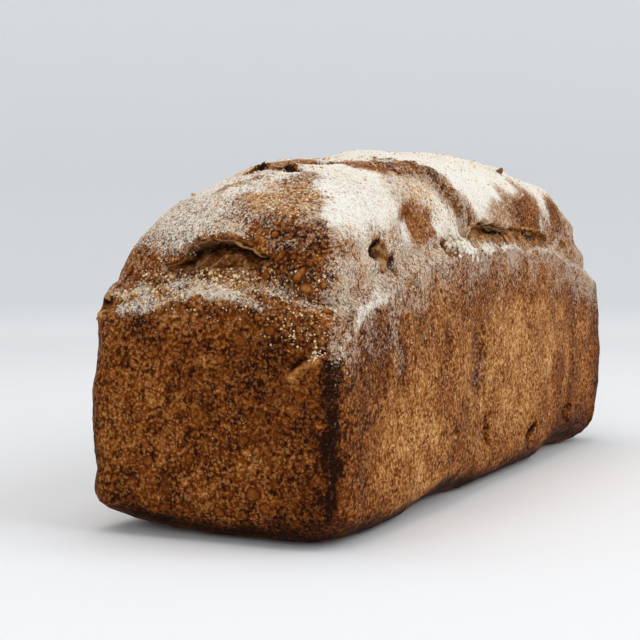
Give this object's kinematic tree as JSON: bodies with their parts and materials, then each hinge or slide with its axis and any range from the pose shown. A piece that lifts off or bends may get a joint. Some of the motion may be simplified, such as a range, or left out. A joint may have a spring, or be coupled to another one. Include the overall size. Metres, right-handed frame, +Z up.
{
  "type": "walnut bread loaf",
  "caption": "Long tin-baked walnut bread with straight walls, a torn rim line and a domed, flour-dusted crust.",
  "frame": {"origin": "centre of the bounding box's bottom face, under the middle of the loaf, on the face that it rests on", "axes": "+Z up, +X along the loaf away from the end nearest the camera, +Y across the loaf away from the side seen in the picture"},
  "size_m": [0.3119, 0.1051, 0.1406],
  "materials": {
    "crust": "dull baked crust, dusted with flour on top"
  },
  "bodies": {
    "root": {"loaf": "crust"}
  },
  "joints": []
}
